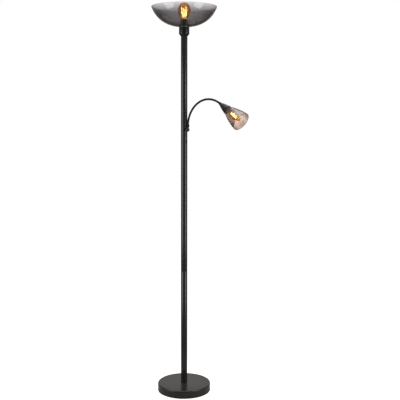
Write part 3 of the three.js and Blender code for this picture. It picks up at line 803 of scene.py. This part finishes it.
bowl_bottom = RIM_TOP - BOWL_HEIGHT
bowl_start = (0.0, bowl_bottom)
bowl_curve = [bowl_start] + bezier(
    bowl_start, (0.55 * RIM_RADIUS, bowl_bottom), (RIM_RADIUS - 20, bowl_bottom + 36.4),
    (RIM_RADIUS, RIM_TOP), 64,
)
seat = next(i for i, point in enumerate(bowl_curve) if point[0] > BOWL_SEAT)
bowl_line = [(BOWL_HOLE, bowl_curve[seat][1])] + bowl_curve[seat:]
# The line stops short of the rim, so that the round lip ends at the rim's height.
slope = (Vector(bowl_line[-1]) - Vector(bowl_line[-2])).normalized()
drop = GLASS_WALL / 2 * (1 + slope.x)
bowl_line = [point for point in bowl_line if point[1] < RIM_TOP - drop - 0.4]
bowl_line.append((RIM_RADIUS - drop * slope.x / slope.y, RIM_TOP - drop))
bowl = lathe("glass_bowl", walled(bowl_line, GLASS_WALL, round_end=True), BOWL_SMOKE, segments=160)
piece(bowl, "stand", "bowl_glass")

# ---------------------------------------------------------------- bulbs

globe_line = [(GLOBE_NECK, GLOBE_FOOT)]
globe_line += bezier(
    (GLOBE_NECK, GLOBE_FOOT + 11.4), (GLOBE_NECK + 0.2, GLOBE_FOOT + 22), (GLOBE_RADIUS, GLOBE_WIDEST - 22),
    (GLOBE_RADIUS, GLOBE_WIDEST), 24,
)
globe_line += bezier(
    (GLOBE_RADIUS, GLOBE_WIDEST), (GLOBE_RADIUS, GLOBE_WIDEST + 17), (0.8 * GLOBE_RADIUS, GLOBE_TOP),
    (0.0, GLOBE_TOP), 28,
)
globe = lathe("globe_glass", walled(globe_line, GLOBE_WALL), AMBER, segments=72)
piece(globe, "stand", "bowl_bulb_glass")

globe_cap = lathe(
    "globe_cap",
    [(0, GLOBE_CAP), (4, GLOBE_CAP), (4.8, GLOBE_CAP + 1), (5, GLOBE_CAP + 3), (12.2, GLOBE_CAP + 5.6)]
    + thread_outline(CAP_RADIUS, GLOBE_CAP + 6.5, GLOBE_CAP + 25, 3.6, 0.9)
    + [
        (CAP_RADIUS, GLOBE_CAP + 26.4), (12.9, GLOBE_CAP + 27), (12.6, GLOBE_CAP + 27),
        (12.5, GLOBE_CAP + 26), (12.5, GLOBE_FOOT - FIT), (0, GLOBE_FOOT - FIT),
    ],
    MATERIALS["nickel"],
    segments=64,
)
piece(globe_cap, "stand", "bowl_bulb_cap")

globe_stem = lathe(
    "globe_stem",
    [(0, GLOBE_FOOT), (9, GLOBE_FOOT)]
    + bezier((9, GLOBE_FOOT), (8, GLOBE_FOOT + 5), (3.4, GLOBE_FOOT + 5), (3, GLOBE_FOOT + 10), 10)
    + bezier((3, GLOBE_FOOT + 10), (2.8, GLOBE_FOOT + 11), (2.2, GLOBE_FOOT + 12), (2, GLOBE_FOOT + 13), 5)
    + [(1.2, GLOBE_FOOT + 13.8), (0, GLOBE_FOOT + 14)],
    CLEAR,
    segments=40,
)
piece(globe_stem, "stand", "bowl_bulb_stem")

candle_line = [(CANDLE_NECK, CANDLE_FOOT), (CANDLE_NECK, CANDLE_FOOT + 5)]
candle_line += bezier(
    candle_line[-1], (8.0, CANDLE_FOOT + 14), (CANDLE_RADIUS, CANDLE_WIDEST - 14),
    (CANDLE_RADIUS, CANDLE_WIDEST), 20,
)
candle_line += bezier(
    candle_line[-1], (CANDLE_RADIUS, CANDLE_WIDEST + 18), (6.0, CANDLE_TIP - 8), (0.0, CANDLE_TIP), 24
)
candle = lathe("candle_glass", walled(candle_line, CANDLE_WALL), AMBER, segments=64, place=HEAD)
piece(candle, "reading_head", "reading_bulb_glass")

candle_cap = lathe(
    "candle_cap",
    [(0, CANDLE_CAP), (3, CANDLE_CAP), (3.4, CANDLE_CAP + 1), (3.5, CANDLE_CAP + 2), (6.4, CANDLE_CAP + 3.7)]
    + thread_outline(SMALL_CAP_RADIUS, CANDLE_CAP + 4.4, CANDLE_CAP + 20, 2.8, 0.6)
    + [
        (SMALL_CAP_RADIUS, CANDLE_CAP + 20.9), (6.9, CANDLE_CAP + 21.5), (6.6, CANDLE_CAP + 21.5),
        (6.5, CANDLE_CAP + 21), (6.5, CANDLE_FOOT - FIT), (0, CANDLE_FOOT - FIT),
    ],
    MATERIALS["nickel"],
    segments=48,
    place=HEAD,
)
piece(candle_cap, "reading_head", "reading_bulb_cap")

# ---------------------------------------------------------------- reading head

# The curve's last point is left out, because the round lip ends the wall.
cone_line = [(LEAD_HOLE, CONE_FOOT), (8.1, CONE_FOOT), (8.4, CONE_FOOT + 0.3)]
cone_line += quadratic((8.5, CONE_FOOT), (14, 14), (CONE_RADIUS, CONE_LENGTH), 24)[:-1]
cone_outline = walled(cone_line, SHEET_WALL, round_end=True)
cone = lathe("shade_cone", cone_outline, MATERIALS["black_coat"], segments=80, place=HEAD)
piece(cone, "reading_head", "head_cone")

lip_centre = SHADE_LENGTH - SHADE_WALL / 2
shade_line = [(SHADE_HOLE, SHADE_FOOT), (15.9, SHADE_FOOT), (16.4, SHADE_FOOT + 0.3)]
shade_line += quadratic(shade_line[-1], (17.6, SHADE_FOOT + 2), (19.6, SHADE_FOOT + 8.5), 6)
shade_line += bezier(
    shade_line[-1], (30.5, SHADE_FOOT + 26), (SHADE_RADIUS - 1, SHADE_LENGTH - 21),
    (SHADE_RADIUS, SHADE_LENGTH), 36,
)
shade_line = [point for point in shade_line if point[1] < lip_centre - 0.4]
shade_line.append((SHADE_RADIUS - 0.07, lip_centre))
shade = lathe(
    "glass_shade", walled(shade_line, SHADE_WALL, round_end=True), SHADE_SMOKE, segments=128, place=HEAD
)
piece(shade, "reading_head", "reading_shade")

shade_ring = lathe(
    "shade_ring_nut",
    band(SMALL_HOLDER_RADIUS + FIT, 14.9, SHADE_FOOT + 2.8, SHADE_FOOT + 6.5, (0.2, 0.3, 0.5, 0.3)),
    MATERIALS["black_plastic"],
    segments=144,
    place=HEAD,
    swell=grips(24, 0.4, 13.5),
)
piece(shade_ring, "reading_head", "shade_ring")

small_holder_outline = rounded(
    [
        (LEAD_HOLE, SMALL_HOLDER_BOTTOM, 0), (10.3, SMALL_HOLDER_BOTTOM, 0.5),
        (SMALL_HOLDER_RADIUS, SMALL_HOLDER_BOTTOM + 3, 0.8), (SMALL_HOLDER_RADIUS, SHADE_FOOT - 4, 0),
        (SHOULDER_RADIUS, SHADE_FOOT - 3.4, 0.3), (SHOULDER_RADIUS, SHADE_FOOT - 0.6, 0.3),
        (SMALL_HOLDER_RADIUS, SHADE_FOOT - 0.6, 0),
    ],
    steps=3,
)
small_holder_outline += thread_outline(SMALL_HOLDER_RADIUS, SHADE_FOOT, SMALL_HOLDER_TOP - 2, 2.4, 0.5)
small_holder_outline += [
    (SMALL_HOLDER_RADIUS, SMALL_HOLDER_TOP - 0.6), (11.9, SMALL_HOLDER_TOP), (9.2, SMALL_HOLDER_TOP),
    (8.8, SMALL_HOLDER_TOP - 0.4), (SMALL_HOLDER_BORE, SMALL_HOLDER_TOP - 1),
    (SMALL_HOLDER_BORE, SMALL_HOLDER_BOTTOM + 5), (LEAD_HOLE, SMALL_HOLDER_BOTTOM + 5),
]
small_holder = lathe(
    "small_lamp_holder", small_holder_outline, MATERIALS["black_plastic"], segments=72, place=HEAD
)
piece(small_holder, "reading_head", "e14_socket")

ferrule_top = lathe(
    "neck_end_top",
    rounded(
        [
            (0, -1.9, 0), (5.6, -1.9, 0), (5.6, -9, 0.2), (6.3, -9, 0.3),
            (UPPER_FERRULE_RADIUS, -8, 0.4), (UPPER_FERRULE_RADIUS, -1, 0.6), (6.2, 0, 0.2),
            (FERRULE_STUD, 0, 0), (FERRULE_STUD, 8, 0.3), (0, 8, 0),
        ],
        steps=4,
    ),
    MATERIALS["neck_black"],
    segments=56,
    place=HEAD,
)
piece(ferrule_top, "reading_head", "neck_ferrule_upper")

# ---------------------------------------------------------------- flexible neck


def neck_sleeve(name, start, end):
    """A stretch of the neck's wound steel tube, from one length along the arc to another."""
    sides = 22
    stations = int(round((end - start) / RIB_PITCH * 6))
    vertices, faces = [], []
    for i in range(stations + 1):
        length = start + (end - start) * i / stations
        crest = abs(math.sin(math.pi * length / RIB_PITCH))
        radius = NECK_RADIUS - RIB_DEPTH * (1 - crest) ** 1.5
        here = neck_frame(length)
        for k in range(sides):
            angle = 2 * math.pi * k / sides
            vertices.append(tuple(here @ Vector((radius * math.cos(angle), radius * math.sin(angle), 0))))
    for i in range(stations):
        for k in range(sides):
            n = (k + 1) % sides
            faces.append([i * sides + k, i * sides + n, (i + 1) * sides + n, (i + 1) * sides + k])
    faces.append(list(range(sides))[::-1])
    faces.append([stations * sides + k for k in range(sides)])
    return finish_mesh(name, vertices, faces, UP, MATERIALS["neck_black"], sharp=60.0)


piece(neck_sleeve("neck_sleeve_root", -NECK_ROOT, 0.0), "stand", "neck_anchor")
for link in range(1, NECK_LINKS + 1):
    start, end = NECK_PITCH * (link - 1), NECK_PITCH * link
    reach = end if link < NECK_LINKS else end + NECK_END
    sleeve = neck_sleeve(f"neck_sleeve_{link}", start, reach)
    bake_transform(sleeve)
    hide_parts(f"neck_link_{link}")

# The lower ferrule points from the neck's foot to its first hinge, half a link up, as its CAD piece does.
neck_foot = neck_frame(0).to_translation()
first_hinge = neck_frame(NECK_PITCH / 2).to_translation()
towards_hinge = (first_hinge - neck_foot).to_track_quat("Z", "Y").to_matrix().to_4x4()
ferrule_foot = lathe(
    "neck_end_foot",
    rounded(
        [
            (3, -13, 0), (4, -13, 0.2), (4, -6, 0), (6.2, -6, 0.3),
            (LOWER_FERRULE_RADIUS, -5, 0.4), (LOWER_FERRULE_RADIUS, 5, 0.6),
            (6, FERRULE_MOUTH, 0.4), (FERRULE_BORE, FERRULE_MOUTH, 0.2),
            (FERRULE_BORE, -NECK_ROOT - FIT, 0), (3, -NECK_ROOT - FIT, 0),
        ],
        steps=4,
    ),
    MATERIALS["neck_black"],
    segments=56,
    place=Matrix.Translation(neck_foot) @ towards_hinge,
)
piece(ferrule_foot, "stand", "neck_ferrule_lower")

# ---------------------------------------------------------------- arm bracket

ball_outline = []
for k in range(33):
    angle = math.pi * k / 32
    ball_outline.append((KNUCKLE_RADIUS * math.sin(angle), -KNUCKLE_RADIUS * math.cos(angle)))
coat = MATERIALS["black_coat"]
knuckle = lathe("arm_knuckle", ball_outline, coat, segments=64, place=ARM @ Matrix.Translation(KNUCKLE))
saddle_outline = [(0, 0), (8, 0), (8, 4), (7.4, 8.5), (0, 8.5)]
carved(knuckle, lathe("saddle_tool", saddle_outline, coat, 56, out_from_pole(12, KNUCKLE.z)), "UNION")
pole_outline = rod(TUBE_RADIUS + FIT, KNUCKLE.z - 20, KNUCKLE.z + 20)
carved(knuckle, lathe("pole_tool", pole_outline, coat, 96))
neck_bore = ARM @ Matrix.Translation((22.2, 0, KNUCKLE.z - 4))
carved(knuckle, lathe("neck_tool", rod(5, 0, 19), coat, 40, neck_bore))
piece(knuckle, "stand", "arm_bracket")

# ---------------------------------------------------------------- rocker keys

half_key = KEY_HEIGHT / 2
face_heights = [half_key * k / 8 for k in range(-8, 9)]
face_points = [(KEY_FACE + KEY_DISH * (z / half_key) ** 2, z) for z in face_heights]
key_outline = [(-0.7, 3.0), (-0.7, -3.0), (2.3, -half_key)] + face_points + [(2.3, half_key)]
key_turn = Matrix.Rotation(math.pi / 2, 4, "X") @ Matrix.Translation((0, 0, -KEY_WIDTH / 2))
for name, height in SWITCHES.items():
    place = ARM @ Matrix.Translation((KEY_PIVOT, 0, height)) @ Matrix.Rotation(KEY_TILT, 4, "Y") @ key_turn
    key = prism(f"rocker_key_{name}", key_outline, KEY_WIDTH, MATERIALS["key_plastic"], place=place)
    softened(key, 0.45)
    piece(key, f"{name}_switch", f"switch_key_{name}")

# ---------------------------------------------------------------- CAD pieces that stay

slot_of = {part["node"]: part["material_slot"] for part in frame["record"]["subparts"]}
see_through = {"smoked_glass": SHADE_SMOKE, "amber_glass": AMBER, "clear_glass": CLEAR}
for name, node in frame["nodes"].items():
    if node.hide_render:
        continue
    look = MATERIALS.get(slot_of[name]) or see_through[slot_of[name]]
    node.data.materials.clear()
    node.data.materials.append(look)
    if slot_of[name] == "filament":
        # The bulb lights throw its light on what stands round it.
        node.visible_diffuse = False
        node.visible_glossy = False

# ---------------------------------------------------------------- studio


def soft_light(name, location, target, width, height, watts, colour=(1, 1, 1)):
    """A rectangular light that points at the target and isn't seen itself."""
    data = bpy.data.lights.new(name, "AREA")
    data.shape = "RECTANGLE"
    data.size = width
    data.size_y = height
    data.energy = watts
    data.color = colour
    light = bpy.data.objects.new(name, data)
    light.location = location
    light.rotation_euler = (Vector(target) - Vector(location)).to_track_quat("-Z", "Y").to_euler()
    light.visible_camera = False
    scene.collection.objects.link(light)


SOFTBOX_HEIGHT = 0.95
for name, x in (("softbox_left", -1.55), ("softbox_right", 1.55)):
    soft_light(
        name, (x, -0.97, SOFTBOX_HEIGHT), target=(0, 0, SOFTBOX_HEIGHT), width=1.2, height=1.8, watts=20,
        colour=(0.98, 0.97, 1.0),
    )
soft_light("overhead", (0, 0.3, 3.4), target=(0, 0, 0), width=2.4, height=2.4, watts=40)


def bulb_light(name, body, location, watts, colour, radius):
    """The light that a lit bulb throws on what stands round it. It rides with the bulb."""
    data = bpy.data.lights.new(name, "POINT")
    data.energy = watts
    data.color = colour
    data.shadow_soft_size = radius
    light = bpy.data.objects.new(name, data)
    scene.collection.objects.link(light)
    carrier = frame["bodies"][body]
    light.parent = carrier
    light.matrix_parent_inverse = carrier.matrix_world.inverted()
    light.location = location
    light.visible_camera = False
    light.visible_glossy = False


candle_middle = tuple(MM * (HEAD @ Vector((0, 0, 90.0))))
bulb_light(
    "globe_light", "stand", (0, 0, MM * GLOBE_WIDEST), watts=5.0, colour=(1.0, 0.85, 0.70), radius=0.013
)
bulb_light(
    "candle_light", "reading_head", candle_middle, watts=2.4, colour=(1.0, 0.78, 0.5), radius=0.009
)

# The room is warm, brighter behind the lamp and above it. The camera sees plain white in its place.
world = bpy.data.worlds.new("studio")
scene.world = world
world.use_nodes = True
tree = world.node_tree
tree.nodes.clear()
output = tree.nodes.new("ShaderNodeOutputWorld")
white = add(tree, "ShaderNodeBackground", Strength=1.0)
white.inputs["Color"].default_value = (1, 1, 1, 1)
room = add(tree, "ShaderNodeBackground", Strength=1.0)
direction = add(tree, "ShaderNodeTexCoord")
split = add(tree, "ShaderNodeSeparateXYZ")
tree.links.new(direction.outputs["Generated"], split.inputs[0])
towards_back = span(tree, split.outputs["Y"], low=0.04, high=0.30, from_low=-0.8, from_high=0.9)
upwards = span(tree, split.outputs["Z"], low=0.0, high=0.34, from_low=0.12, from_high=0.42)
level = add(tree, "ShaderNodeMath", operation="ADD")
tree.links.new(towards_back, level.inputs[0])
tree.links.new(upwards, level.inputs[1])
tree.links.new(level.outputs[0], room.inputs["Strength"])
room.inputs["Color"].default_value = (1.0, 0.975, 0.95, 1)
path = add(tree, "ShaderNodeLightPath")
mix = add(tree, "ShaderNodeMixShader")
tree.links.new(path.outputs["Is Camera Ray"], mix.inputs[0])
tree.links.new(room.outputs[0], mix.inputs[1])
tree.links.new(white.outputs[0], mix.inputs[2])
tree.links.new(mix.outputs[0], output.inputs["Surface"])

FLOOR_SIDES = 96
FLOOR_RADIUS = 9.0
corners = [2 * math.pi * k / FLOOR_SIDES for k in range(FLOOR_SIDES)]
floor_rim = [(FLOOR_RADIUS * math.cos(a), FLOOR_RADIUS * math.sin(a), 0) for a in corners]
floor_mesh = bpy.data.meshes.new("floor")
floor_mesh.from_pydata(floor_rim, [], [list(range(FLOOR_SIDES))])
floor = bpy.data.objects.new("floor", floor_mesh)
scene.collection.objects.link(floor)

# The floor is paler near the base, a painted pool of light, and grey further off, painted shade; it is plain
# white where the camera sees it.
floor_look, tree, output = tree_of("pale_floor")
paper = add(tree, "ShaderNodeBsdfPrincipled", Roughness=0.9)
spot = add(tree, "ShaderNodeTexCoord")
away = add(tree, "ShaderNodeVectorMath", operation="LENGTH")
tree.links.new(spot.outputs["Object"], away.inputs[0])
fade = span(tree, away.outputs["Value"], low=0.0, high=1.0, from_low=0.2, from_high=0.5)
painted_floor_light = ramp(tree, fade, [(0.0, (0.42, 0.41, 0.40)), (1.0, (0.16, 0.16, 0.16))])
tree.links.new(painted_floor_light, paper.inputs["Base Color"])
paper.inputs["Emission Color"].default_value = (1, 1, 1, 1)
seen = add(tree, "ShaderNodeLightPath")
brightness = span(tree, seen.outputs["Is Camera Ray"], low=0.0, high=0.97)
tree.links.new(brightness, paper.inputs["Emission Strength"])
tree.links.new(paper.outputs[0], output.inputs["Surface"])
floor_mesh.materials.append(floor_look)

# The place, the angles and the lens are those of the camera fitted to the photograph.
CAMERA_PLACE = (0.0741, -3.4127, 1.30235)
CAMERA_PITCH = math.radians(90 - 6.446)
CAMERA_ROLL = math.radians(0.152)
camera_data = bpy.data.cameras.new("camera")
camera_data.sensor_width = 36
camera_data.lens = 66.16
camera_data.clip_end = 50
camera = bpy.data.objects.new("camera", camera_data)
camera.matrix_world = (
    Matrix.Translation(CAMERA_PLACE)
    @ Matrix.Rotation(CAMERA_PITCH, 4, "X")
    @ Matrix.Rotation(CAMERA_ROLL, 4, "Z")
)
scene.collection.objects.link(camera)
scene.camera = camera

scene.view_settings.view_transform = "Standard"
scene.cycles.transparent_max_bounces = 32
